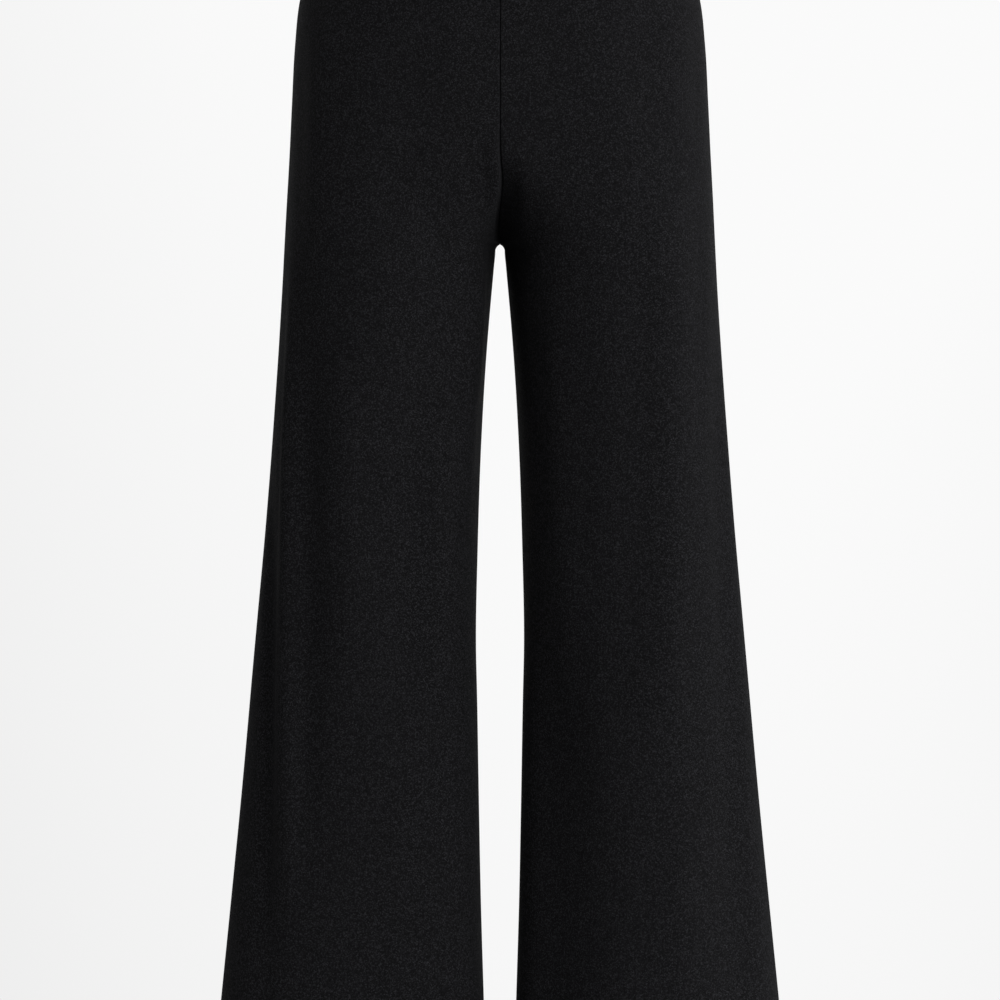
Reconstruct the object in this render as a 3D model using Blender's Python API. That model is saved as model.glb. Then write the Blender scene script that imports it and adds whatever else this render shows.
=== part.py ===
"""Flared trousers, filled out and hollow, open at the waist and at both hems.

Four leg panels (front and back, left and right) run from the waist seam to the hem. A two-part
waistband closes the top. The origin is the centre of the waist's top opening, +Z is up, -Y is the
wearer's front and +X is the wearer's left. Heights in the tables are measured from the crotch
point, up being positive, and the tables are in millimetres.
"""
import math

import bmesh
import bpy
from mathutils import Vector

MM = 0.001
RISE = 275.0          # crotch point up to the top edge of the waistband
INSEAM = 800.0        # crotch point down to the hem
BAND_DEPTH = 40.0     # finished depth of the waistband
CLOTH = 1.6           # wall of a leg panel
BAND_CLOTH = 2.8      # wall of the waistband, which is doubled
GAP = 0.3             # between two pieces at every seam
FULLNESS = 0.56       # handle of the section arcs, 0.552 being an ellipse

ARCH_HEIGHT = 4.5     # height below the crotch point over which the gap between the legs opens
ARCH_LENGTH = 20.0    # how far that rounded gap reaches to the front and to the back
CLOSING = 14.0        # height below the crotch point from which the legs draw together

# Above the crotch each leg's section runs on past the middle and is cut there by the centre seam.
# It runs past by "rate" times the height and "growth" times the height squared, so that the
# crease along the seam fades out upwards.
MERGE_COLUMNS = ("face", "rate", "growth")
MERGES = (
    (-1, 0.64, 0.033),
    (1, 0.64, 0.018),
)

# The outline of one half at each height. "outer" and "side_y" place the side seam, "front" and
# "back" are the foremost and rearmost lines of the section, "front_x" and "back_x" say how far
# from the middle these lie.
SECTION_COLUMNS = ("height", "outer", "side_y", "front", "front_x", "back", "back_x")
SECTIONS = (
    (275, 151.0, 0, -102, 34, 103, 40),
    (240, 163.3, 1, -106, 38, 110, 46),
    (209, 171.9, 2, -109, 42, 116, 52),
    (170, 176.3, 3, -111, 48, 123, 60),
    (120, 179.0, 4, -112, 58, 129, 72),
    (75, 181.1, 5, -111, 72, 131, 82),
    (35, 183.3, 5, -110, 84, 128, 89),
    (0, 185.0, 4, -108, 93, 121, 94),
    (-50, 187.6, 3, -104, 98, 110, 98),
    (-120, 192.1, 2, -99, 103, 100, 103),
    (-240, 201.2, 1, -90, 110, 87, 110),
    (-350, 211.1, 0, -82, 116, 78, 116),
    (-480, 222.9, 1, -76, 121, 75, 121),
    (-650, 239.9, 2, -74, 127, 78, 127),
    (-800, 255.0, 3, -73, 132, 82, 132),
)

# The inseam from the crotch arch down: half the gap between the legs, and how far back it lies.
INSEAM_COLUMNS = ("height", "inner", "inner_y")
INSEAM_LINE = (
    (0, 4.1, 7),
    (-14, 4.9, 7),
    (-30, 6.3, 7),
    (-92, 11.4, 6),
    (-178, 16.4, 4),
    (-264, 19.2, 2),
    (-345, 20.6, 1),
    (-392, 19.6, 1),
    (-480, 18.1, 1),
    (-565, 16.4, 1),
    (-650, 13.9, 2),
    (-800, 9.6, 3),
)

# The largest folds. "across" runs from the inner edge of the panel (0) to the side seam (1) and
# is given at the fold's top and foot, "half_width" is a share of the panel, "depth" is positive
# for a ridge and negative for a trough.
FOLD_COLUMNS = ("panel", "top", "foot", "across_top", "across_foot", "half_width", "depth")
FOLDS = (
    ("front_right", -20, -640, 0.70, 0.58, 0.10, -2.4),
    ("front_right", -30, -660, 0.82, 0.68, 0.10, 1.6),
    ("front_left", -520, -800, 0.40, 0.36, 0.13, -2.4),
    ("front_left", -330, -800, 0.18, 0.20, 0.14, 1.8),
    ("back_left", 20, -430, 0.34, 0.46, 0.14, -3.0),
    ("back_left", -470, -800, 0.62, 0.58, 0.16, 2.6),
    ("back_right", 10, -380, 0.36, 0.52, 0.14, -2.8),
    ("back_right", -430, -800, 0.44, 0.48, 0.16, 2.8),
)

PANEL_HEIGHTS = (
    RISE - BAND_DEPTH, 205, 170, 135, 105, 82, 64, 48, 34, 22, 12, 5, 1.3, 0, -0.4, -1.3, -2.8,
    -4.5, -12, -26, -48, -80, -120, -165, -210, -258, -306, -350, -400, -452, -508, -565, -622,
    -680, -740, -INSEAM,
)
BAND_HEIGHTS = (RISE, RISE - BAND_DEPTH / 2, RISE - BAND_DEPTH)
INNER_COLUMNS = 6     # from the inner edge of a section to its foremost or rearmost line
OUTER_COLUMNS = 9     # from there to the side seam
COLUMNS = INNER_COLUMNS + OUTER_COLUMNS

COLOURS = {
    "front_left": (0.014, 0.014, 0.016),
    "front_right": (0.014, 0.014, 0.016),
    "back_left": (0.013, 0.013, 0.015),
    "back_right": (0.013, 0.013, 0.015),
    "waistband_front": (0.016, 0.016, 0.018),
    "waistband_back": (0.016, 0.016, 0.018),
}


def smooth_table(rows, columns, height):
    """Read every column of a table at one height, by cubic curves through its rows."""
    last = len(rows) - 1
    index = 0
    while index < last - 1 and rows[index + 1][0] > height:
        index += 1
    upper, lower = rows[index], rows[index + 1]
    span = lower[0] - upper[0]
    share = (height - upper[0]) / span

    def slope(at, column):
        before, after = rows[max(at - 1, 0)], rows[min(at + 1, last)]
        if at in (0, last):
            return (after[column] - before[column]) / (after[0] - before[0])
        here = rows[at]
        first = (here[column] - before[column]) / (here[0] - before[0])
        second = (after[column] - here[column]) / (after[0] - here[0])
        near, far = abs(here[0] - before[0]), abs(after[0] - here[0])
        return (first * far + second * near) / (near + far)

    values = {"height": height}
    for column in range(1, len(columns)):
        start, end = upper[column], lower[column]
        leave, arrive = slope(index, column) * span, slope(index + 1, column) * span
        values[columns[column]] = (
            start * (1 + 2 * share) * (1 - share) ** 2
            + leave * share * (1 - share) ** 2
            + end * share ** 2 * (3 - 2 * share)
            + arrive * share ** 2 * (share - 1)
        )
    return values


def inner_side(height, face):
    """Where the inner side of a leg's section lies at one height.

    Below the crotch this is the inseam. Above it the section runs past the middle, so the value
    is negative.
    """
    if height > 0:
        merge = dict(zip(MERGE_COLUMNS, MERGES[0] if face < 0 else MERGES[1]))
        return -height * (merge["rate"] + merge["growth"] * height), INSEAM_LINE[0][2]
    line = smooth_table(INSEAM_LINE, INSEAM_COLUMNS, height)
    closed = max(1 + height / CLOSING, 0.0)
    return line["inner"] * (1 - closed * closed), line["inner_y"]


def arch_push(height):
    """How far the rounded top of the gap between the legs pushes the inseam out."""
    line = smooth_table(INSEAM_LINE, INSEAM_COLUMNS, height)
    opened = min(-height / ARCH_HEIGHT, 1.0)
    gap = GAP / 2 + (line["inner"] - GAP / 2) * math.sqrt(1 - (1 - opened) ** 2)
    return gap - inner_side(height, -1)[0]


def arc(start, leave, end, arrive, steps):
    """One cubic arc from start to end, leaving and arriving along two unit directions."""
    reach_x, reach_y = abs(end[0] - start[0]), abs(end[1] - start[1])
    first = FULLNESS * (abs(leave[0]) * reach_x + abs(leave[1]) * reach_y)
    second = FULLNESS * (abs(arrive[0]) * reach_x + abs(arrive[1]) * reach_y)
    handle_a = (start[0] + leave[0] * first, start[1] + leave[1] * first)
    handle_b = (end[0] - arrive[0] * second, end[1] - arrive[1] * second)
    points = []
    for step in range(steps + 1):
        t = step / steps
        weights = ((1 - t) ** 3, 3 * t * (1 - t) ** 2, 3 * t * t * (1 - t), t ** 3)
        corners = (start, handle_a, handle_b, end)
        points.append(tuple(sum(w * c[axis] for w, c in zip(weights, corners)) for axis in (0, 1)))
    return points


def spread(points, shares):
    """Points on a line at the given shares of its length; the shares rise from 0 to 1."""
    lengths = [0.0]
    for a, b in zip(points, points[1:]):
        lengths.append(lengths[-1] + math.dist(a, b))
    result = []
    index = 0
    for wanted in shares:
        distance = wanted * lengths[-1]
        while index < len(points) - 2 and lengths[index + 1] < distance:
            index += 1
        share = (distance - lengths[index]) / (lengths[index + 1] - lengths[index])
        share = min(max(share, 0.0), 1.0)
        a, b = points[index], points[index + 1]
        result.append((a[0] + (b[0] - a[0]) * share, a[1] + (b[1] - a[1]) * share))
    return result


def inner_shares(points, crown_x):
    """Shares that keep the columns near the crown steady while the inner edge runs in and out."""
    total = sum(math.dist(a, b) for a, b in zip(points, points[1:]))
    steady = 1.2 * crown_x / total
    shares = []
    for step in range(INNER_COLUMNS + 1):
        back = 1 - step / INNER_COLUMNS
        shares.append(1 - steady * back - (1 - steady) * back ** 3)
    return shares


def bell(distance):
    """A soft hump, 1 in its middle and 0 from a distance of 1 on."""
    return 0.5 + 0.5 * math.cos(math.pi * min(abs(distance), 1.0))


def cut_at_middle(points):
    """Keep the part of a line that lies clear of the middle."""
    clear = GAP / 2
    kept = [point for point in points if point[0] > clear]
    inside, outside = points[len(points) - len(kept) - 1], kept[0]
    share = (clear - inside[0]) / (outside[0] - inside[0])
    return [(clear, inside[1] + (outside[1] - inside[1]) * share)] + kept


def half_section(height, face):
    """The front or the back of one half at one height, from the inner edge to the side seam."""
    row = smooth_table(SECTIONS, SECTION_COLUMNS, height)
    crown = row["front"] if face < 0 else row["back"]
    crown_x = row["front_x"] if face < 0 else row["back_x"]
    inner_x, inner_y = inner_side(height, face)
    start = (inner_x, inner_y + face * GAP / 2)
    side = (row["outer"], row["side_y"] + face * GAP / 2)
    inner = arc(start, (0, face), (crown_x, crown), (1, 0), 400 if height > 0 else 60)
    if height > 0:
        inner = cut_at_middle(inner)
    outer = arc((crown_x, crown), (1, 0), side, (0, -face), 60)
    inner = spread(inner, inner_shares(inner, crown_x))
    outer = spread(outer, [step / OUTER_COLUMNS for step in range(OUTER_COLUMNS + 1)])
    if height <= 0:
        push = arch_push(height)
        inner = [(x + push * bell((y - inner_y) / ARCH_LENGTH), y) for x, y in inner]
    return inner + outer[1:]


def fold_depth(panel, height, across):
    """How far the largest folds push the cloth out at one place on a panel."""
    depth = 0.0
    for row in FOLDS:
        fold = dict(zip(FOLD_COLUMNS, row))
        if fold["panel"] != panel or not fold["foot"] <= height <= fold["top"]:
            continue
        down = (fold["top"] - height) / (fold["top"] - fold["foot"])
        middle = fold["across_top"] + (fold["across_foot"] - fold["across_top"]) * down
        strength = min(down * 3, 1.0)
        if fold["foot"] > -INSEAM:
            strength = min(strength, (1 - down) * 3)
        strength = strength * strength * (3 - 2 * strength)
        depth += fold["depth"] * strength * bell((across - middle) / fold["half_width"])
    return depth * min(across / 0.1, (1 - across) / 0.08, 1.0)


def panel_rows(name, side, face):
    """The outer surface of a leg panel, a row of points per height."""
    rows = []
    for height in PANEL_HEIGHTS:
        points = half_section(height, face)
        shaped = []
        for index, point in enumerate(points):
            before, after = points[max(index - 1, 0)], points[min(index + 1, COLUMNS)]
            way = (after[0] - before[0], after[1] - before[1])
            length = math.hypot(*way)
            push = fold_depth(name, height, index / COLUMNS)
            out = (-way[1] * -face / length * push, way[0] * face / length * push)
            shaped.append((side * (point[0] + out[0]), point[1] + out[1], height))
        rows.append(shaped)
    top = PANEL_HEIGHTS[0] - GAP / 2
    rows[0] = [(x, y, top) for x, y, height in rows[0]]
    return rows


def band_rows(face):
    """The outer surface of one half of the waistband, from side seam to side seam."""
    rows = []
    for height in BAND_HEIGHTS:
        half = half_section(height, face)
        level = height + GAP / 2 if height == BAND_HEIGHTS[-1] else height
        middle = (0.0, half[0][1], level)
        left = [(x, y, level) for x, y in half[1:]]
        right = [(-x, y, level) for x, y in reversed(half[1:])]
        rows.append(right + [middle] + left)
    return rows


def outward(rows, flip):
    """The outward direction at every point of a surface given as rows."""
    grid = bmesh.new()
    made = [[grid.verts.new(point) for point in row] for row in rows]
    for upper, lower in zip(made, made[1:]):
        for index in range(len(upper) - 1):
            loop = [upper[index], lower[index], lower[index + 1], upper[index + 1]]
            grid.faces.new(loop[::-1] if flip else loop)
    grid.normal_update()
    ways = [[vertex.normal.copy() for vertex in row] for row in made]
    grid.free()
    return ways


def square_ends(ways, side, face, centre_seam):
    """Keep the cut edges square, so that two pieces stay apart through the wall at a seam."""
    for row in ways:
        row[-1].y = 0.0
        if not centre_seam:
            row[0].y = 0.0
    for height, row in zip(PANEL_HEIGHTS, ways):
        if not centre_seam:
            break
        if height < 0:
            row[0].y = 0.0
        elif height == 0:
            row[0] = Vector((0.0, 0.0, -1.0))
        else:
            row[0].x = side * min(side * row[0].x, 0.0)
    for row in (ways[0], ways[-1]):
        for way in row:
            way.z = 0.0
    for row in ways:
        for way in row:
            way.normalize()


def make_piece(name, rows, ways, wall, flip):
    """Close a surface into a wall of even thickness and add it as an object."""
    mesh = bmesh.new()
    outer = [[mesh.verts.new(Vector(p)) for p in row] for row in rows]
    inner = [
        [mesh.verts.new(Vector(p) - way * wall) for p, way in zip(row, way_row)]
        for row, way_row in zip(rows, ways)
    ]

    def add(loop):
        mesh.faces.new(loop[::-1] if flip else loop)

    last_row, last = len(rows) - 1, len(rows[0]) - 1
    for r in range(last_row):
        for c in range(last):
            add([outer[r][c], outer[r + 1][c], outer[r + 1][c + 1], outer[r][c + 1]])
            add([inner[r][c + 1], inner[r + 1][c + 1], inner[r + 1][c], inner[r][c]])
        add([outer[r + 1][0], outer[r][0], inner[r][0], inner[r + 1][0]])
        add([outer[r][last], outer[r + 1][last], inner[r + 1][last], inner[r][last]])
    for c in range(last):
        add([outer[0][c], outer[0][c + 1], inner[0][c + 1], inner[0][c]])
        add([outer[last_row][c + 1], outer[last_row][c], inner[last_row][c], inner[last_row][c + 1]])

    for vertex in mesh.verts:
        vertex.co = Vector((vertex.co.x, vertex.co.y, vertex.co.z - RISE)) * MM
    bmesh.ops.triangulate(mesh, faces=mesh.faces[:])
    data = bpy.data.meshes.new(name)
    mesh.to_mesh(data)
    mesh.free()
    piece = bpy.data.objects.new(name, data)
    bpy.context.scene.collection.objects.link(piece)
    material = bpy.data.materials.new(name + "_cloth")
    material.use_nodes = True
    shader = material.node_tree.nodes["Principled BSDF"]
    shader.inputs["Base Color"].default_value = (*COLOURS[name], 1.0)
    shader.inputs["Roughness"].default_value = 0.9
    data.materials.append(material)
    return piece


for thing in list(bpy.data.objects):
    bpy.data.objects.remove(thing, do_unlink=True)

# Leg panels: front and back, each cut for the left and for the right leg.
for side, side_name in ((1, "left"), (-1, "right")):
    for face, face_name in ((-1, "front"), (1, "back")):
        name = face_name + "_" + side_name
        rows = panel_rows(name, side, face)
        flip = side * face > 0
        ways = outward(rows, flip)
        square_ends(ways, side, face, True)
        make_piece(name, rows, ways, CLOTH, flip)

# Waistband: a doubled band in two halves, joined over the side seams.
for face, face_name in ((-1, "front"), (1, "back")):
    rows = band_rows(face)
    flip = face > 0
    ways = outward(rows, flip)
    square_ends(ways, 1, face, False)
    make_piece("waistband_" + face_name, rows, ways, BAND_CLOTH, flip)
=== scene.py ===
import math

import bpy
import numpy as np
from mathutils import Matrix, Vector, noise


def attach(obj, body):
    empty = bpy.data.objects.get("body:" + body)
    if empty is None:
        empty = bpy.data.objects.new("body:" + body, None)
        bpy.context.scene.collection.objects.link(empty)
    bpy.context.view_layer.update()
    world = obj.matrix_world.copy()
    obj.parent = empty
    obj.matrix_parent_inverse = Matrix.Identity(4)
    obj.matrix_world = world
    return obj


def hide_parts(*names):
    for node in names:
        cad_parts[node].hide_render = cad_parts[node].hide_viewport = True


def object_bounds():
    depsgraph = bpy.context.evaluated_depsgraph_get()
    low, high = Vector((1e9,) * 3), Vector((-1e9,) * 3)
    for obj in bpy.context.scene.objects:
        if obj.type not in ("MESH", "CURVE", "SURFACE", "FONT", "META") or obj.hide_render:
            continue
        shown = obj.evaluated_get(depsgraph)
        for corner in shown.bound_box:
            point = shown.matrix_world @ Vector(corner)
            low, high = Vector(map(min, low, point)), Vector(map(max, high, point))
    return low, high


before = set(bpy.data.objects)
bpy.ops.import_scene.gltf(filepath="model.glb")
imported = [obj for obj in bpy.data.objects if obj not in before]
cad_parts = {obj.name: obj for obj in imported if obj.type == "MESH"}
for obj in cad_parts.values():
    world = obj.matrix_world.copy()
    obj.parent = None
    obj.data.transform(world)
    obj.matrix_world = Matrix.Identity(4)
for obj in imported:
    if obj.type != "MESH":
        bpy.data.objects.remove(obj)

cad_low, cad_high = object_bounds()

# ------------------------------------------------------------------------------------------------
# Crepe knit. A soft black double knit with a fine pebbled grain, about one millimetre thick, used
# for every piece. Its face is matt with a faint nap at grazing angles, and its reverse is coarser
# and flatter.
# ------------------------------------------------------------------------------------------------
grain = bpy.data.node_groups.new("crepe_grain", "ShaderNodeTree")
for socket_name, default in (("Pebble Size", 0.0013), ("Depth", 1.0), ("Fleck And Painted Light", 0.3)):
    socket = grain.interface.new_socket(socket_name, in_out="INPUT", socket_type="NodeSocketFloat")
    socket.default_value = default
grain.interface.new_socket("Tint", in_out="INPUT", socket_type="NodeSocketColor")
grain.interface.new_socket("Color", in_out="OUTPUT", socket_type="NodeSocketColor")
grain.interface.new_socket("Height", in_out="OUTPUT", socket_type="NodeSocketFloat")
grain.interface.new_socket("Roughness", in_out="OUTPUT", socket_type="NodeSocketFloat")


def knit_node(kind, tree=grain, **settings):
    """Add one node to a node tree and set its properties."""
    node = tree.nodes.new(kind)
    for name, value in settings.items():
        setattr(node, name, value)
    return node


def knit_sum(operation, first, second, third=None, tree=grain, clamp=False):
    """Join values by one sum; each is a number or another node's output."""
    node = knit_node("ShaderNodeMath", tree, operation=operation, use_clamp=clamp)
    for index, value in enumerate((first, second, third)):
        if isinstance(value, (int, float)):
            node.inputs[index].default_value = value
        elif value is not None:
            tree.links.new(value, node.inputs[index])
    return node.outputs[0]


grain_in = knit_node("NodeGroupInput")
grain_out = knit_node("NodeGroupOutput")
place = knit_node("ShaderNodeTexCoord")
pebble_scale = knit_sum("DIVIDE", 1.0, grain_in.outputs["Pebble Size"])

# The pebbles are a little longer down the wales than across them, and pushed out of line.
WALE_SCALE = (1.0, 1.0, 0.82)
PUSHED_ASIDE = (0.0012, 0.0012, 0.0012)  # metres
CRINKLE_SHARE = 0.8    # how much the crinkles add to the relief, beside the pebbles
FIBRE_SHARE = 0.25     # how much the single fibres add
stretch = knit_node("ShaderNodeMapping")
stretch.inputs["Scale"].default_value = WALE_SCALE
grain.links.new(place.outputs["Object"], stretch.inputs["Vector"])
crinkle = knit_node("ShaderNodeTexNoise", noise_dimensions="3D")
crinkle.inputs["Detail"].default_value = 2.0
grain.links.new(stretch.outputs["Vector"], crinkle.inputs["Vector"])
grain.links.new(knit_sum("MULTIPLY", pebble_scale, 0.4), crinkle.inputs["Scale"])
pushed = knit_node("ShaderNodeVectorMath", operation="MULTIPLY_ADD")
pushed.inputs[1].default_value = PUSHED_ASIDE
grain.links.new(crinkle.outputs["Color"], pushed.inputs[0])
grain.links.new(stretch.outputs["Vector"], pushed.inputs[2])
pebbles = knit_node("ShaderNodeTexVoronoi", voronoi_dimensions="3D", feature="F1")
pebbles.inputs["Randomness"].default_value = 0.9
grain.links.new(pushed.outputs["Vector"], pebbles.inputs["Vector"])
grain.links.new(pebble_scale, pebbles.inputs["Scale"])
rounded = knit_sum("POWER", pebbles.outputs["Distance"], 2.0)
rounded = knit_sum("SUBTRACT", 1.0, rounded, clamp=True)
fibres = knit_node("ShaderNodeTexNoise", noise_dimensions="3D")
fibres.inputs["Detail"].default_value = 3.0
fibres.inputs["Roughness"].default_value = 0.7
grain.links.new(place.outputs["Object"], fibres.inputs["Vector"])
grain.links.new(knit_sum("MULTIPLY", pebble_scale, 2.2), fibres.inputs["Scale"])
relief = knit_sum("MULTIPLY_ADD", crinkle.outputs["Fac"], CRINKLE_SHARE, rounded)
relief = knit_sum("MULTIPLY_ADD", fibres.outputs["Fac"], FIBRE_SHARE, relief)
grain.links.new(knit_sum("MULTIPLY", relief, grain_in.outputs["Depth"]), grain_out.inputs["Height"])

# Each pebble's colour is a little lighter or darker, partly its own dye and partly painted shade and
# painted highlight standing in for its relief, and a few pebbles get bright painted glints. DARKEST is
# the least share of the tint kept where that painted shade is deepest.
DARKEST = 0.15         # share of the tint left in the darkest hollows
CLOUD_SCALE = 26.0     # slow clouds in the dye, this many to the metre
CLOUD_CHANGE = 0.14    # how much they change the tint
chance = knit_node("ShaderNodeSeparateColor")
grain.links.new(pebbles.outputs["Color"], chance.inputs["Color"])
fleck_and_painted_light = knit_sum("MULTIPLY_ADD", knit_sum("POWER", chance.outputs["Red"], 3.0), 4.0, -1.0)
# The single fibres are painted lighter where they stand up and darker between them, as painted
# highlight and painted shade.
fleck_and_painted_light = knit_sum("MULTIPLY_ADD", fibres.outputs["Fac"], 1.4, fleck_and_painted_light)
fleck_and_painted_light = knit_sum("SUBTRACT", fleck_and_painted_light, 0.7)
fleck_and_painted_light = knit_sum("MULTIPLY_ADD", fleck_and_painted_light, grain_in.outputs["Fleck And Painted Light"], 1.0)
cloudy = knit_node("ShaderNodeTexNoise", noise_dimensions="3D")
cloudy.inputs["Scale"].default_value = CLOUD_SCALE
cloudy.inputs["Detail"].default_value = 2.0
grain.links.new(place.outputs["Object"], cloudy.inputs["Vector"])
uneven = knit_sum("MULTIPLY_ADD", cloudy.outputs["Fac"], CLOUD_CHANGE, 0.93)
shade = knit_sum("MAXIMUM", knit_sum("MULTIPLY", fleck_and_painted_light, uneven), DARKEST)
tinted = knit_node("ShaderNodeVectorMath", operation="SCALE")
grain.links.new(grain_in.outputs["Tint"], tinted.inputs[0])
grain.links.new(shade, tinted.inputs["Scale"])
grain.links.new(tinted.outputs["Vector"], grain_out.inputs["Color"])
rough = knit_sum("MULTIPLY_ADD", rounded, -0.12, 0.98)
grain.links.new(rough, grain_out.inputs["Roughness"])


def crepe_knit(name, tint, pebble, depth, fleck_and_painted_light, bump, sheen, gloss):
    """A material of the crepe knit, with its own colour, grain, nap and gloss."""
    material = bpy.data.materials.new(name)
    material.use_nodes = True
    tree = material.node_tree
    shader = tree.nodes["Principled BSDF"]
    cloth = knit_node("ShaderNodeGroup", tree, node_tree=grain)
    cloth.inputs["Pebble Size"].default_value = pebble
    cloth.inputs["Depth"].default_value = depth
    # How strongly the dye flecks and the painted glints and painted shade of the grain change the
    # colour.
    cloth.inputs["Fleck And Painted Light"].default_value = fleck_and_painted_light
    cloth.inputs["Tint"].default_value = (*tint, 1.0)
    raised = knit_node("ShaderNodeBump", tree)
    raised.inputs["Strength"].default_value = 1.0
    raised.inputs["Distance"].default_value = bump
    tree.links.new(cloth.outputs["Height"], raised.inputs["Height"])
    tree.links.new(cloth.outputs["Color"], shader.inputs["Base Color"])
    tree.links.new(cloth.outputs["Roughness"], shader.inputs["Roughness"])
    tree.links.new(raised.outputs["Normal"], shader.inputs["Normal"])
    shader.inputs["Specular IOR Level"].default_value = gloss
    shader.inputs["Sheen Weight"].default_value = sheen
    shader.inputs["Sheen Roughness"].default_value = 0.5
    shader.inputs["Sheen Tint"].default_value = (0.9, 0.95, 1.0, 1.0)
    return material


# Each material's grain setting changes its colour by dye flecks together with painted glints and
# painted shade.
crepe_face = crepe_knit(
    "crepe_face", tint=(0.0110, 0.0110, 0.0124), pebble=0.00075, depth=1.0, fleck_and_painted_light=0.58,
    bump=0.00055, sheen=0.005, gloss=0.12,
)
crepe_reverse = crepe_knit(
    "crepe_reverse", tint=(0.009, 0.009, 0.0101), pebble=0.0015, depth=0.8, fleck_and_painted_light=0.3,
    bump=0.0004, sheen=0.02, gloss=0.08,
)


# ------------------------------------------------------------------------------------------------
# Leg panels. A front and a back for each leg, each cut in one length from the waist seam to the
# turned-up hem. They are sewn together at the side, the inside leg, the centre front and the
# centre back, with the seam allowances pressed open inside.
# ------------------------------------------------------------------------------------------------
MM = 0.001
RISE = 275.0           # crotch point up to the top edge of the waistband
INSEAM = 800.0         # crotch point down to the hem
WAIST_SEAM = 235.0     # height of the seam under the waistband
CLOTH = 0.85           # one layer of the knit
EDGE_CLOTH = 0.9 * CLOTH  # least wall left where it turns into a seam
SEAM_TURN = 1.2        # how far from a seam the cloth starts to turn into it
SEAM_DROP = 1.4        # how deep it turns there
FRONT_DROP = 2.6       # the same at the centre front, which lies deeper
ALLOWANCE = 10.0       # seam allowance pressed flat inside
TURN_UP = 26.0         # depth of the turned-up hem
ARCH_HEIGHT = 3.2      # drop below the crotch point over which the gap between the legs opens
ARCH_LENGTH = 20.0     # how far that rounded opening reaches to the front and to the back
CLOSING = 8.0          # drop below the crotch point from which the legs draw together
SEAM_SQUARE = 4.0      # how near a seam the cloth starts to stand square to it

# The outline of one half at each height above the crotch point. "outer" and "side_y" place the
# side seam; "front" and "back" are the foremost and rearmost lines, "front_x" and "back_x" their
# distance from the middle.
OUTLINE_COLUMNS = ("height", "outer", "side_y", "front", "front_x", "back", "back_x")
OUTLINE = (
    (275, 151.0, 0, -102, 34, 103, 40),
    (240, 163.3, 1, -106, 38, 110, 46),
    (209, 171.9, 2, -109, 42, 116, 52),
    (170, 176.3, 3, -111, 48, 123, 60),
    (120, 179.0, 4, -112, 58, 129, 72),
    (75, 181.1, 5, -111, 72, 131, 82),
    (35, 183.3, 5, -110, 84, 128, 89),
    (0, 185.0, 4, -108, 93, 121, 94),
    (-50, 187.6, 3, -104, 98, 110, 98),
    (-120, 192.1, 2, -99, 103, 100, 103),
    (-240, 201.2, 1, -90, 110, 87, 110),
    (-350, 211.1, 0, -82, 116, 78, 116),
    (-480, 222.9, 1, -76, 121, 75, 121),
    (-650, 239.9, 2, -74, 127, 78, 127),
    (-800, 255.0, 3, -73, 132, 82, 132),
)

# The inside leg seam from the crotch down: half the gap between the legs, and how far back.
INSIDE_COLUMNS = ("height", "inner", "inner_y")
INSIDE = (
    (0, 3.9, 7),
    (-9, 4.1, 7),
    (-16, 4.8, 7),
    (-30, 6.1, 7),
    (-92, 11.4, 6),
    (-178, 16.4, 4),
    (-264, 19.2, 2),
    (-345, 20.6, 1),
    (-392, 19.6, 1),
    (-480, 18.1, 1),
    (-565, 16.4, 1),
    (-650, 13.9, 2),
    (-800, 9.6, 3),
)

# How full the arcs of a section are at the front, -1, and at the back, 1, with 0.552 being an
# ellipse. "right" and "left" run from the inner edge of that leg to the foremost or rearmost
# line, and "outer" runs from there to the side seam. The inner arcs are alike above the hips.
FULLNESS = {
    -1: {"right": 0.64, "left": 0.54, "outer": 0.63},
    1: {"right": 0.56, "left": 0.56, "outer": 0.57},
}
HIP_FULLNESS = 0.56
HIP_TOP = 200.0        # height from which every inner arc has that fullness
HIP_BLEND = 110.0      # how far down it takes to come to its own
ARC_POINTS = 400       # points that an arc is drawn with, before the panel's columns are taken

# The crease in which the front of the legs parts at the crotch. "depth" is how much deeper it
# lies than the rounding of the legs alone would put it, "right_width" and "left_width" are how
# far from the seam each leg starts to turn into it, "lip" is how far the right leg's cloth stands
# forward beside it, and "aside" is how far the centre seam strays to the left.
CREASE_COLUMNS = ("height", "depth", "right_width", "left_width", "lip", "aside")
CREASE = (
    (112, 0, 4, 14, 0, 0.1),
    (92, 0.3, 3.6, 16, 0.8, 0.1),
    (76, 1.0, 3, 18, 2.8, 0.1),
    (60, 3.6, 2.4, 20, 7.2, 0.9),
    (53, 6.5, 2.4, 21, 8.8, 1.7),
    (46, 11, 2.4, 22, 9.2, 1.9),
    (34, 24, 2.8, 22, 8.0, 1.2),
    (28, 30, 3.2, 22, 6.6, 0.4),
    (20, 36, 3.8, 22, 4.6, -0.6),
    (12, 34, 4.6, 23, 2.4, -1.0),
    (6, 26, 5, 23, 1.2, -0.6),
    (0, 16, 6, 24, 0, 0),
    (-14, 10, 7, 25, 0, 0),
    (-44, 0, 7, 28, 0, 0),
)
LIP_WIDTH = 16.0       # how far from the seam the cloth starts to stand forward
CREASE_START = 40.0    # how far from the inside leg seam the crease reaches its full depth
CREASE_SHARES = ((0.8, 1.0), (0.2, 2.2))  # shares of its depth, and times its width each takes
ASIDE_WIDTH = 30.0     # how far from the centre seam the cloth strays with it
ASIDE_FADE = 60.0      # how far below the waist seam it starts to stray

# Above the crotch a leg's section runs on past the middle by "rate" times the height and
# "growth" times its square, and the centre seam cuts it there.
MERGE = {-1: {"rate": 0.64, "growth": 0.033}, 1: {"rate": 0.64, "growth": 0.018}}

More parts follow.
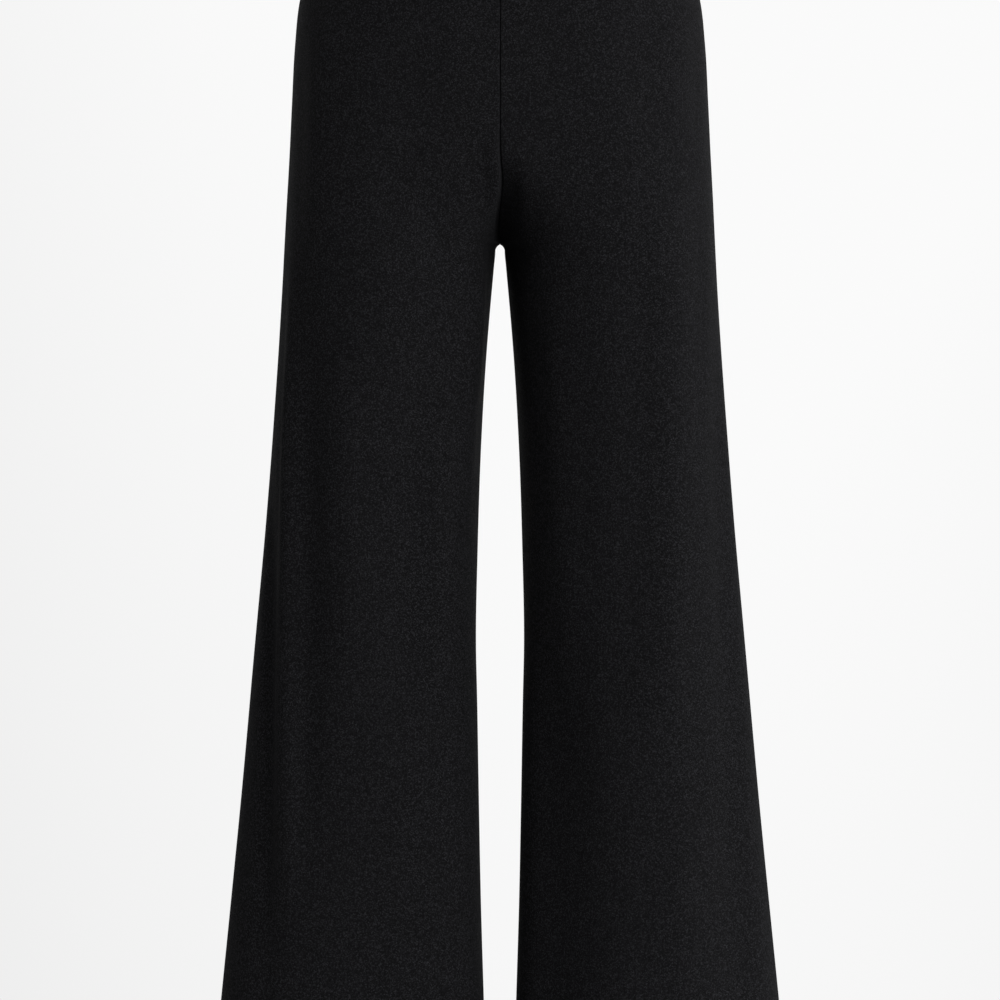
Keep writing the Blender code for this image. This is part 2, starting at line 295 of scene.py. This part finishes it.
# Soft folds. "x_top" and "x_foot" are the fold's distance from the middle of the trousers at its
# ends, "half_width" is measured along the cloth, and "depth" is positive for a ridge and negative
# for a trough. A fold fades out over a third of its length at each end, but not at the hem.
FOLD_COLUMNS = ("panel", "top", "foot", "x_top", "x_foot", "half_width", "depth")
FOLDS = (
    ("front_right", 215, -60, 148, 150, 36, 4.0),
    ("front_right", 215, -20, 78, 80, 50, -4.6),
    ("front_right", 80, -160, 21, 22, 36, 3.2),
    ("front_right", 60, -220, 54, 58, 42, -3.4),
    ("front_right", 30, -260, 14, 30, 24, 2.2),
    ("front_right", -60, -420, 132, 126, 30, 5.4),
    ("front_right", -50, -450, 74, 72, 38, -5.6),
    ("front_right", -20, -560, 160, 164, 20, -3.2),
    ("front_right", 20, -640, 175, 181, 19, 8.0),
    ("front_right", -160, -740, 193, 202, 16, -4.5),
    ("front_left", 215, 60, 148, 147, 36, 4.0),
    ("front_left", 50, -440, 42, 58, 28, 2.6),
    ("front_left", 120, -480, 146, 142, 36, 5.4),
    ("front_left", -250, -720, 134, 146, 44, 5.5),
    ("front_left", 0, -790, 180, 209, 30, -5.4),
    ("front_left", -280, -800, 98, 110, 42, 5.5),
    ("front_left", -260, -795, 42, 42, 48, -8.0),
    ("front_left", -420, -800, 150, 156, 36, 3.0),
    ("back_left", 30, -190, 34, 92, 26, -3.2),
    ("back_left", 20, -470, 78, 98, 34, -4.4),
    ("back_left", -40, -520, 132, 138, 30, 4.2),
    ("back_left", -170, -680, 178, 186, 18, 4.6),
    ("back_left", -430, -800, 52, 58, 38, -4.6),
    ("back_right", 24, -170, 38, 104, 24, -2.8),
    ("back_right", 0, -440, 72, 90, 32, -4.0),
    ("back_right", -70, -500, 128, 132, 34, 4.6),
    ("back_right", -320, -800, 104, 122, 40, 5.0),
    ("back_right", -360, -800, 160, 172, 26, -3.2),
)

FOLD_FADE = 3.0        # a fold's length over the length of such a fade
FOLD_CLEAR = 16.0      # how near one of the long seams the folds start to die away
BAND_CLEAR = 24.0      # how near the waistband they start to

# Slow, slight swellings of hanging cloth: how deep, how wide, and which of many.
LEG_SWELLINGS = ((0.45, 75.0, 2), (0.12, 24.0, 5))
SWELLING_LENGTH = 0.45  # their width as a share of their length

# Distances from a seam at which a panel has a column or a row, finer where its edge turns in.
SEAM_STEPS = (0.0, 0.15, 0.4, 0.8, 1.3, 1.9, 2.9, 4.4, 6.6, 9.3, 10.4, 13.4)
HEM_STEPS = (-2.2, -0.6, 0.6, 2.4)  # rows around the upper edge of the turned-up hem
HEM_CLEAR = 2.0        # no other row lies this near that edge
EDGE_CLEAR = 14.0      # no even row lies this near the waist seam or the hem
FIRST_GAP = 0.25       # gap between the rows next to the crotch point
GAP_GROWTH = 1.28      # how much each gap is wider than the one before
LARGEST_GAP = 4.6
LEG_COLUMNS = (26, 30)  # columns of a panel on its inner and its outer arc

# At the foremost or rearmost line the inner columns lie as far apart as if they had to cover
# CROWN_REACH times its distance from the middle, but at most MOST_REACH times their own arc.
CROWN_REACH = 1.2
MOST_REACH = 1.5


def read_column(rows, column, heights):
    """One column of a table at many heights, by cubic curves through its rows."""
    at = np.array([row[0] for row in rows], float)[::-1]
    values = np.array([row[column] for row in rows], float)[::-1]
    gaps = np.diff(at)
    rises = np.diff(values) / gaps
    slopes = np.concatenate([rises[:1], rises[:-1], rises[-1:]])
    slopes[1:-1] = (rises[:-1] * gaps[1:] + rises[1:] * gaps[:-1]) / (gaps[:-1] + gaps[1:])
    index = np.clip(np.searchsorted(at, heights) - 1, 0, len(at) - 2)
    span = gaps[index]
    share = (heights - at[index]) / span
    return (
        values[index] * (1 + 2 * share) * (1 - share) ** 2
        + slopes[index] * span * share * (1 - share) ** 2
        + values[index + 1] * share ** 2 * (3 - 2 * share)
        + slopes[index + 1] * span * share ** 2 * (share - 1)
    )


def read_table(rows, columns, height):
    """Every column of a table but the heights, at one height and by its name."""
    return {
        name: float(read_column(rows, column, height))
        for column, name in enumerate(columns)
        if column
    }


def inside_leg(height, face):
    """Where the inner side of a leg's section lies, and how far the rounded arch pushes it."""
    if height > 0:
        merge = MERGE[face]
        return -height * (merge["rate"] + merge["growth"] * height), INSIDE[0][2], 0.0
    inside = read_table(INSIDE, INSIDE_COLUMNS, height)
    closed = max(1 + height / CLOSING, 0.0)
    opened = min(-height / ARCH_HEIGHT, 1.0)
    gap = inside["inner"] * math.sqrt(1 - (1 - opened) ** 2)
    drawn = inside["inner"] * (1 - closed * closed)
    return drawn, inside["inner_y"], gap - drawn


def section_arc(start, leave, end, arrive, fullness, steps):
    """One cubic arc from start to end, leaving and arriving along two unit directions."""
    start, leave, end, arrive = (np.array(value, float) for value in (start, leave, end, arrive))
    reach = np.abs(end - start)
    near = start + leave * fullness * np.dot(np.abs(leave), reach)
    far = end - arrive * fullness * np.dot(np.abs(arrive), reach)
    t = np.linspace(0, 1, steps)[:, None]
    return (
        (1 - t) ** 3 * start
        + 3 * t * (1 - t) ** 2 * near
        + 3 * t * t * (1 - t) * far
        + t ** 3 * end
    )


def along(points, distances):
    """Points on a line at the given distances along it."""
    lengths = np.concatenate([[0], np.cumsum(np.hypot(*np.diff(points, axis=0).T))])
    return np.stack([np.interp(distances, lengths, points[:, axis]) for axis in (0, 1)], 1)


def line_length(points):
    """How long a line of points is."""
    return float(np.hypot(*np.diff(points, axis=0).T).sum())


def inner_arc(height, side, face):
    """The inner arc of a leg's section, cut at the centre seam above the crotch.

    Returns the arc, the outline's sizes, the arc's far end, how far back its inner edge lies,
    and how far the rounded arch pushes that edge out.
    """
    row = read_table(OUTLINE, OUTLINE_COLUMNS, height)
    crown = (row["front_x"], row["front"]) if face < 0 else (row["back_x"], row["back"])
    inner_x, inner_y, push = inside_leg(height, face)
    own = FULLNESS[face]["left" if side > 0 else "right"]
    blend = float(soft_step((HIP_TOP - height) / HIP_BLEND))
    fullness = HIP_FULLNESS + (own - HIP_FULLNESS) * blend
    # Above the crotch the arc starts far past the middle, so it is drawn with more points.
    steps = 4 * ARC_POINTS if height > 0 else ARC_POINTS
    inner = section_arc((inner_x, inner_y), (0, face), crown, (1, 0), fullness, steps)
    if height > 0:
        first = int(np.argmax(inner[:, 0] > 0))
        share = -inner[first - 1, 0] / (inner[first, 0] - inner[first - 1, 0])
        cut = inner[first - 1] + (inner[first] - inner[first - 1]) * share
        inner = np.vstack([cut, inner[first:]])
    return inner, row, crown, inner_y, push


def read_crease(height):
    """The crease's sizes at one height. Above and below it they stay as at its ends."""
    return read_table(CREASE, CREASE_COLUMNS, min(max(height, CREASE[-1][0]), CREASE[0][0]))


def press_crease(inner, height, side, inner_y):
    """Press the crease at the crotch into the inner arc of a front panel.

    It is shaped on the left leg, and above the crotch the right leg's edge is laid into it.
    """
    crease = read_crease(height)
    left = inner if side > 0 else inner_arc(height, 1, -1)[0]
    off = (left[:, 0] - left[0, 0]) / crease["left_width"]
    hollow = sum(share * soft_step(1 - off / wide) for share, wide in CREASE_SHARES)
    started = soft_step((inner_y - left[:, 1]) / CREASE_START)
    sunk = left[:, 1] + crease["depth"] * hollow * started
    if side > 0:
        return np.stack([inner[:, 0], sunk], 1)
    if height > 0:
        inner = inner.copy()
        near = soft_step(1 - inner[:, 0] / crease["right_width"])
        inner[:, 1] += (sunk[0] - inner[0, 1]) * near
        inner[:, 1] -= crease["lip"] * soft_step(1 - inner[:, 0] / LIP_WIDTH) * (1 - near)
    return inner


def leg_section(height, side, face, inner_count, outer_count):
    """The front or the back of one leg at one height, from its inner edge to the side seam.

    Returns the points, and each point's distance from the inner edge and from the side seam.
    """
    inner, row, crown, inner_y, push = inner_arc(height, side, face)
    if face < 0 and CREASE[-1][0] < height < CREASE[0][0]:
        inner = press_crease(inner, height, side, inner_y)
    side_seam = (row["outer"], row["side_y"])
    outer = section_arc(
        crown, (1, 0), side_seam, (0, -face), FULLNESS[face]["outer"], ARC_POINTS
    )

    steps = np.array(SEAM_STEPS)
    length = line_length(inner)
    free = length - steps[-1]
    back = np.linspace(1, 0, inner_count + 1)
    steady = min(CROWN_REACH * crown[0], MOST_REACH * free)
    inner_at = np.concatenate([steps[:-1], length - steady * back - (free - steady) * back ** 3])
    rim = line_length(outer)
    outer_at = np.concatenate([
        np.linspace(0, rim - steps[-1], outer_count + 1)[1:-1],
        rim - steps[::-1],
    ])
    inner = along(inner, inner_at)
    if push:
        inner[:, 0] += push * soft_hump((inner[:, 1] - inner_y) / ARCH_LENGTH)
    points = np.vstack([inner, along(outer, outer_at)])
    from_inner = np.concatenate([inner_at, length + outer_at])
    return points, from_inner, length + rim - from_inner


def soft_hump(distance):
    """1 in its middle, falling softly to 0 from a distance of 1 on."""
    return 0.5 + 0.5 * np.cos(math.pi * np.minimum(np.abs(distance), 1.0))


def soft_step(value):
    """0 up to 0, 1 from 1 on, and a smooth rise between."""
    value = np.clip(value, 0, 1)
    return value * value * (3 - 2 * value)


def row_heights(top, foot):
    """Heights of a panel's rows, closer together at the crotch, the hem and the waist seam."""
    heights = {0.0}
    for way in (1, -1):
        height = 0.0
        gap = FIRST_GAP
        while True:
            height += way * gap
            gap = min(gap * GAP_GROWTH, LARGEST_GAP)
            if not foot + EDGE_CLEAR < height < top - EDGE_CLEAR:
                break
            heights.add(round(height, 4))
    heights.update(top - value for value in SEAM_STEPS)
    heights.update(foot + value for value in SEAM_STEPS)
    edge = foot + TURN_UP
    heights = {height for height in heights if abs(height - edge) > HEM_CLEAR}
    heights.update(edge + value for value in HEM_STEPS)
    return np.array(sorted(heights, reverse=True))


def fold_push(panel, heights, xs, from_inner):
    """How far the soft folds push each point of a panel out."""
    push = np.zeros_like(xs)
    for row in FOLDS:
        fold = dict(zip(FOLD_COLUMNS, row))
        if fold["panel"] != panel:
            continue
        for index, height in enumerate(heights):
            if not fold["foot"] <= height <= fold["top"]:
                continue
            down = (fold["top"] - height) / (fold["top"] - fold["foot"])
            x = fold["x_top"] + (fold["x_foot"] - fold["x_top"]) * down
            middle = np.interp(x, xs[index], from_inner[index])
            strength = soft_step(down * FOLD_FADE)
            if fold["foot"] > -INSEAM:
                strength *= soft_step((1 - down) * FOLD_FADE)
            push[index] += fold["depth"] * strength * soft_hump(
                (from_inner[index] - middle) / fold["half_width"]
            )
    return push


def edge_turn(distance, reach, drop):
    """How far an edge has turned inwards at a distance from where it ends."""
    near = np.clip(1 - distance / reach, 0, 1)
    return drop * (1 - np.sqrt(1 - near ** 2))


def surface_ways(grid):
    """Unit directions square to a surface given as rows of points."""
    down, across = np.gradient(grid, axis=0), np.gradient(grid, axis=1)
    ways = np.cross(down, across)
    return ways / np.linalg.norm(ways, axis=2, keepdims=True)


def sew_shell(name, outer, inner, cuts, materials, flip):
    """A closed shell between an outer and an inner surface, given as rows of points.

    "cuts" gives each point's place on the flat cloth, for the map of its weave.
    """
    rows, columns = outer.shape[:2]
    points = np.vstack([outer.reshape(-1, 3), inner.reshape(-1, 3)]) * MM
    index = np.arange(rows * columns).reshape(rows, columns)
    a, b, c, d = index[:-1, :-1], index[1:, :-1], index[1:, 1:], index[:-1, 1:]
    face_loops = np.stack([a, b, c, d], 2).reshape(-1, 4)
    back_loops = face_loops[:, ::-1] + rows * columns
    rims = []
    edges = ((index[0], False), (index[-1], True), (index[:, 0], True), (index[:, -1], False))
    for line, turned in edges:
        other = line + rows * columns
        rim = np.stack([line[:-1], line[1:], other[1:], other[:-1]], 1)
        rims.append(rim[:, ::-1] if turned else rim)
    loops = np.vstack([face_loops, back_loops, *rims])
    if flip:
        loops = loops[:, ::-1]
    mesh = bpy.data.meshes.new(name)
    mesh.from_pydata(points.tolist(), [], loops.tolist())
    for material in materials:
        mesh.materials.append(material)
    which = np.zeros(len(loops), np.int32)
    which[len(face_loops):len(face_loops) + len(back_loops)] = 1
    mesh.polygons.foreach_set("material_index", which)
    mesh.polygons.foreach_set("use_smooth", np.ones(len(loops), bool))
    flat = mesh.uv_layers.new(name="cut")
    places = np.vstack([cuts.reshape(-1, 2)] * 2) * MM
    corners = np.empty(len(mesh.loops), np.int32)
    mesh.loops.foreach_get("vertex_index", corners)
    flat.data.foreach_set("uv", places[corners].ravel())
    mesh.update()
    piece = bpy.data.objects.new(name, mesh)
    bpy.context.scene.collection.objects.link(piece)
    return piece


def unevenness(points, size, which):
    """How far swellings of one size push each point out, from -1 to 1."""
    shift = Vector((which * 7.3, which * 3.1, which * 5.7))
    flat = points.reshape(-1, 3) / size
    values = [noise.noise(Vector((p[0], p[1], p[2] * SWELLING_LENGTH)) + shift) for p in flat]
    return np.array(values).reshape(points.shape[:2])


def swell(points, swellings):
    """How far all the swellings in a list push each point out."""
    return sum(deep * unevenness(points, wide, which) for deep, wide, which in swellings)


def seam_nearness(distance):
    """1 at a seam, falling to 0 where the cloth no longer has to stand square to it."""
    return np.clip(1 - distance / SEAM_SQUARE, 0, 1)


def level_edges(ways):
    """Unit directions that lie level along a piece's upper and lower edges."""
    ways[[0, -1], :, 2] = 0
    return ways / np.linalg.norm(ways, axis=2, keepdims=True)


def cut_leg_panel(name, side, face):
    """One leg panel as a closed shell of cloth, its seams turned in and its hem turned up."""
    heights = row_heights(WAIST_SEAM, -INSEAM)
    lines = [leg_section(height, side, face, *LEG_COLUMNS) for height in heights]
    flat = np.array([line[0] for line in lines])
    from_inner = np.array([line[1] for line in lines])
    from_side = np.array([line[2] for line in lines])
    across = np.gradient(flat, axis=1)
    across /= np.linalg.norm(across, axis=2, keepdims=True)
    out = np.stack([-across[..., 1] * face, across[..., 0] * face], 2)
    level = np.repeat((heights - RISE)[:, None], flat.shape[1], 1)
    solid = np.dstack([flat, level])
    turned = np.dstack([solid[..., 0] * side, solid[..., 1], solid[..., 2]])
    push = fold_push(name, heights, flat[..., 0], from_inner)
    push += swell(turned, LEG_SWELLINGS)
    push *= soft_step(from_inner / FOLD_CLEAR) * soft_step(from_side / FOLD_CLEAR)
    push *= soft_step((WAIST_SEAM - heights) / BAND_CLEAR)[:, None]
    solid[..., :2] += out * push[..., None]
    if face < 0:
        for index, height in enumerate(heights):
            if height > 0:
                aside = read_crease(height)["aside"]
                aside *= float(soft_step((WAIST_SEAM - height) / ASIDE_FADE))
                near = soft_hump(solid[index, :, 0] / ASIDE_WIDTH)
                solid[index, :, 0] += side * aside * near

    # At the seams the shell's wall stands square to the line where two panels meet.
    ways = surface_ways(solid) * -face
    near_inner = seam_nearness(from_inner)
    above = heights > 0
    ways[above, :, 0] *= 1 - near_inner[above]
    ways[~above, :, 1] *= 1 - near_inner[~above]
    ways[..., 1] *= 1 - seam_nearness(from_side)
    ways = level_edges(ways)

    from_hem = (heights + INSEAM)[:, None]
    from_band = (WAIST_SEAM - heights)[:, None]
    rise_drop = np.where(above & (face < 0), FRONT_DROP, SEAM_DROP)[:, None]
    turn = np.maximum(
        edge_turn(from_inner, SEAM_TURN, rise_drop), edge_turn(from_side, SEAM_TURN, SEAM_DROP)
    )
    turn = np.maximum(turn, edge_turn(from_band, SEAM_TURN, SEAM_DROP))
    hem_turn = edge_turn(from_hem, CLOTH, CLOTH)
    outer = solid - ways * np.maximum(turn, hem_turn)[..., None]
    from_seam = np.minimum(np.minimum(from_inner, from_side), from_band)
    layers = 1.0 + (from_seam < ALLOWANCE) + (from_hem < TURN_UP)
    wall = np.maximum(CLOTH * layers - hem_turn, turn + EDGE_CLOTH)
    inner = solid - ways * wall[..., None]
    for grid in (outer, inner):
        grid[..., 0] *= side
    cuts = np.dstack([from_inner * side, level + RISE])
    return sew_shell(
        side_words[side] + "_" + face_words[face] + "_leg_panel",
        outer, inner, cuts, (crepe_face, crepe_reverse), side * face > 0,
    )


side_words = {1: "left", -1: "right"}
face_words = {-1: "front", 1: "back"}
for side in (1, -1):
    for face in (-1, 1):
        node = face_words[face] + "_" + side_words[side]
        panel = cut_leg_panel(node, side, face)
        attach(panel, "root")
        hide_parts(node)

# ------------------------------------------------------------------------------------------------
# Waistband. A plain band of the same knit, folded double over flat elastic and sewn on all round,
# cut as a front half and a back half that meet at the side seams.
# ------------------------------------------------------------------------------------------------
BAND_WALL = 2.5        # two layers of knit and the elastic between them
BAND_EDGE = 1.2        # radius of the folded top edge
BAND_EDGE_WALL = 0.6   # least wall left where it turns into a seam
BAND_EVEN = 11.0       # how far inside its edges the even rows start
BAND_ROWS = 6
BAND_COLUMNS = (14, 46)  # columns from the middle to the side seam, on each arc

# The slight ripples that the elastic draws, and how near each edge they start to die away.
BAND_SWELLINGS = ((0.10, 9.0, 8), (0.22, 40.0, 3))
RIPPLE_CLEAR = {"side": 12.0, "seam": 10.0, "fold": 8.0}


def cut_waistband(face):
    """One half of the waistband, from side seam to side seam."""
    low = WAIST_SEAM
    high = RISE
    steps = np.array(SEAM_STEPS[:-2])
    even = np.linspace(high - BAND_EVEN, low + BAND_EVEN, BAND_ROWS)
    heights = np.concatenate([high - steps, even, low + steps[::-1]])
    lines = [leg_section(height, 1, face, *BAND_COLUMNS) for height in heights]
    # It has no seam at the centre, so the fine columns there are left out.
    first = len(SEAM_STEPS) - 1
    half = np.array([line[0] for line in lines])[:, first:]
    to_side = np.array([line[2] for line in lines])[:, first:]
    mirrored = half[:, ::-1] * np.array([-1, 1])
    flat = np.concatenate([mirrored, half], 1)
    from_side = np.concatenate([to_side[:, ::-1], to_side], 1)
    level = np.repeat((heights - RISE)[:, None], flat.shape[1], 1)
    solid = np.dstack([flat, level])
    ways = surface_ways(solid) * -face
    ways[..., 1] *= 1 - seam_nearness(from_side)
    ways = level_edges(ways)
    from_top = (high - heights)[:, None]
    from_seam = (heights - low)[:, None]
    ripple = swell(solid, BAND_SWELLINGS)
    ripple *= soft_step(from_side / RIPPLE_CLEAR["side"]) * soft_step(from_seam / RIPPLE_CLEAR["seam"])
    ripple *= soft_step(from_top / RIPPLE_CLEAR["fold"])
    solid += ways * ripple[..., None]
    fold = edge_turn(from_top, BAND_EDGE, BAND_EDGE)
    turn = np.maximum(
        edge_turn(from_side, SEAM_TURN, SEAM_DROP), edge_turn(from_seam, SEAM_TURN, SEAM_DROP)
    )
    outer = solid - ways * np.maximum(turn, fold)[..., None]
    inner = solid - ways * np.maximum(BAND_WALL - fold, turn + BAND_EDGE_WALL)[..., None]
    around = np.concatenate([-to_side[:, ::-1], to_side], 1)
    cuts = np.dstack([around, level + RISE])
    return sew_shell(
        face_words[face] + "_waistband", outer, inner, cuts, (crepe_face, crepe_face), face > 0
    )


for face in (-1, 1):
    band = cut_waistband(face)
    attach(band, "root")
    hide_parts("waistband_" + face_words[face])

# ------------------------------------------------------------------------------------------------
# Studio. A pale round floor just under the hems, a white surround that is palest at the middle,
# the top and the wearer's left, seven soft lamps in front of the trousers, at their sides, behind
# and above them, and a camera level with the thighs.
# ------------------------------------------------------------------------------------------------
FLOOR_RINGS = (0.25, 0.5, 0.75, 1.0, 1.15)
FLOOR_SPOKES = 72
FLOOR_BELOW = 0.022    # how far the floor lies below the hems
FLOOR_GLOW = 0.4       # added to what the camera sees of it, so that it is as pale as the surround
FLOOR_FADE = (0.45, 1.1)  # metres from its middle between which it fades into the surround
scene = bpy.context.scene
floor_mesh = bpy.data.meshes.new("floor")
floor_points = [(0.0, 0.0, 0.0)]
for radius in FLOOR_RINGS:
    for spoke in range(FLOOR_SPOKES):
        turn = math.tau * spoke / FLOOR_SPOKES
        floor_points.append((radius * math.cos(turn), radius * math.sin(turn), 0.0))
floor_faces = []
for spoke in range(FLOOR_SPOKES):
    after = (spoke + 1) % FLOOR_SPOKES
    floor_faces.append((0, 1 + spoke, 1 + after))
    for ring in range(len(FLOOR_RINGS) - 1):
        near = 1 + ring * FLOOR_SPOKES
        far = near + FLOOR_SPOKES
        floor_faces.append((near + spoke, far + spoke, far + after, near + after))
floor_mesh.from_pydata(floor_points, [], floor_faces)
floor = bpy.data.objects.new("floor", floor_mesh)
floor.location = (0.0, 0.0, cad_low.z - FLOOR_BELOW)
scene.collection.objects.link(floor)

floor_paint = bpy.data.materials.new("pale_floor")
floor_paint.use_nodes = True
tree = floor_paint.node_tree
paint = tree.nodes["Principled BSDF"]
paint.inputs["Base Color"].default_value = (0.86, 0.86, 0.86, 1.0)
paint.inputs["Roughness"].default_value = 0.9
paint.inputs["Specular IOR Level"].default_value = 0.1
paint.inputs["Emission Strength"].default_value = 1.0
spot = knit_node("ShaderNodeTexCoord", tree)
reach = knit_node("ShaderNodeVectorMath", tree, operation="LENGTH")
fade = knit_node("ShaderNodeMapRange", tree, interpolation_type="SMOOTHSTEP")
fade.inputs["From Min"].default_value = FLOOR_FADE[0]
fade.inputs["From Max"].default_value = FLOOR_FADE[1]
fade.inputs["To Min"].default_value = 1.0
fade.inputs["To Max"].default_value = 0.0
tree.links.new(spot.outputs["Object"], reach.inputs[0])
tree.links.new(reach.outputs["Value"], fade.inputs["Value"])
tree.links.new(fade.outputs["Result"], paint.inputs["Alpha"])
straight = knit_node("ShaderNodeLightPath", tree)
glow = knit_sum("MULTIPLY", straight.outputs["Is Camera Ray"], FLOOR_GLOW, tree=tree)
tree.links.new(glow, paint.inputs["Emission Color"])
floor_mesh.materials.append(floor_paint)

scene.view_settings.view_transform = "Standard"
scene.view_settings.look = "None"

# What the camera sees of the surround: how pale it is straight ahead, how much paler it gets
# towards the wearer's left and the top, how much darker to both sides, and its bounds.
MIDDLE_WHITE = 0.951
WHITE_LEAN = (0.235, 0.0, 0.21)
SIDE_DARKER = -2.74
LEAST_WHITE = 0.855
MOST_WHITE = 0.957
BOUNCE = 0.3           # strength of the light it sheds on the trousers, most of it from below
world = bpy.data.worlds.new("studio")
scene.world = world
world.use_nodes = True
tree = world.node_tree
surround = tree.nodes["Background"]
surround.inputs["Strength"].default_value = 1.0
way = knit_node("ShaderNodeTexCoord", tree)
lean = knit_node("ShaderNodeVectorMath", tree, operation="DOT_PRODUCT")
lean.inputs[1].default_value = WHITE_LEAN
tree.links.new(way.outputs["Generated"], lean.inputs[0])
upward = knit_node("ShaderNodeSeparateXYZ", tree)
tree.links.new(way.outputs["Generated"], upward.inputs["Vector"])
pool = knit_sum("MULTIPLY", upward.outputs["X"], upward.outputs["X"], tree=tree)
pool = knit_sum("MULTIPLY_ADD", pool, SIDE_DARKER, MIDDLE_WHITE, tree=tree)
pale = knit_sum("ADD", lean.outputs["Value"], pool, tree=tree)
pale = knit_sum("MAXIMUM", pale, LEAST_WHITE, tree=tree)
pale = knit_sum("MINIMUM", pale, MOST_WHITE, tree=tree)
tree.links.new(pale, surround.inputs["Color"])

spread = knit_node("ShaderNodeBackground", tree)
spread.inputs["Strength"].default_value = BOUNCE
bounced = knit_sum("MULTIPLY_ADD", upward.outputs["Z"], -0.5, 0.5, tree=tree)
tree.links.new(bounced, spread.inputs["Color"])
seen = knit_node("ShaderNodeLightPath", tree)
either = knit_node("ShaderNodeMixShader", tree)
tree.links.new(seen.outputs["Is Camera Ray"], either.inputs["Fac"])
tree.links.new(spread.outputs["Background"], either.inputs[1])
tree.links.new(surround.outputs["Background"], either.inputs[2])
tree.links.new(either.outputs["Shader"], tree.nodes["World Output"].inputs["Surface"])

# Each lamp stands at an azimuth from the front towards the wearer's left, in degrees, at a
# distance out from the trousers' middle line and at a height, in metres. It is turned to the
# point of that line at the height "aim".
LAMP_COLUMNS = ("lamp", "azimuth", "distance", "height", "aim", "width", "tall", "watts")
LAMPS = (
    ("key_softbox", 60, 2.954, 0.021, -0.5, 1.6, 2.2, 22.0),
    ("front_softbox", 30, 2.954, 0.021, -0.5, 1.6, 2.2, 36.0),
    ("high_fill", -70, 2.0, 0.7, -0.4, 1.2, 1.2, 7.5),
    ("side_kicker", 90, 2.4, -0.2, -0.4, 1.4, 1.0, 14.2),
    ("left_rear_softbox", 165, 2.9, 0.6, -0.5, 1.4, 2.0, 17.0),
    ("right_rear_softbox", -160, 2.9, 0.6, -0.5, 1.4, 2.0, 12.0),
    ("overhead", 180, 0.25, 1.8, -0.2, 0.9, 0.9, 14.0),
)
for row in LAMPS:
    spec = dict(zip(LAMP_COLUMNS, row))
    lamp_data = bpy.data.lights.new(spec["lamp"], "AREA")
    lamp_data.shape = "RECTANGLE"
    lamp_data.size = spec["width"]
    lamp_data.size_y = spec["tall"]
    lamp_data.energy = spec["watts"]
    lamp = bpy.data.objects.new(spec["lamp"], lamp_data)
    turn = math.radians(spec["azimuth"])
    lamp.location = (
        math.sin(turn) * spec["distance"], -math.cos(turn) * spec["distance"], spec["height"]
    )
    aim = Vector((0.0, 0.0, spec["aim"]))
    lamp.rotation_euler = (lamp.location - aim).to_track_quat("Z", "Y").to_euler()
    scene.collection.objects.link(lamp)

VIEW_WIDTH = 0.86      # metres seen across at the trousers' middle line
VIEW_AWAY = 3.5        # metres in front of that line
VIEW_HEIGHT = -0.4956  # metres, from the waist's top edge
SENSOR = 36.0          # millimetres
camera_data = bpy.data.cameras.new("camera")
camera = bpy.data.objects.new("camera", camera_data)
scene.collection.objects.link(camera)
camera_data.sensor_width = SENSOR
camera_data.lens = SENSOR * VIEW_AWAY / VIEW_WIDTH
camera_data.clip_end = 50.0
camera.location = (0.0, -VIEW_AWAY, VIEW_HEIGHT)
camera.rotation_euler = (math.radians(90), 0.0, 0.0)
scene.camera = camera
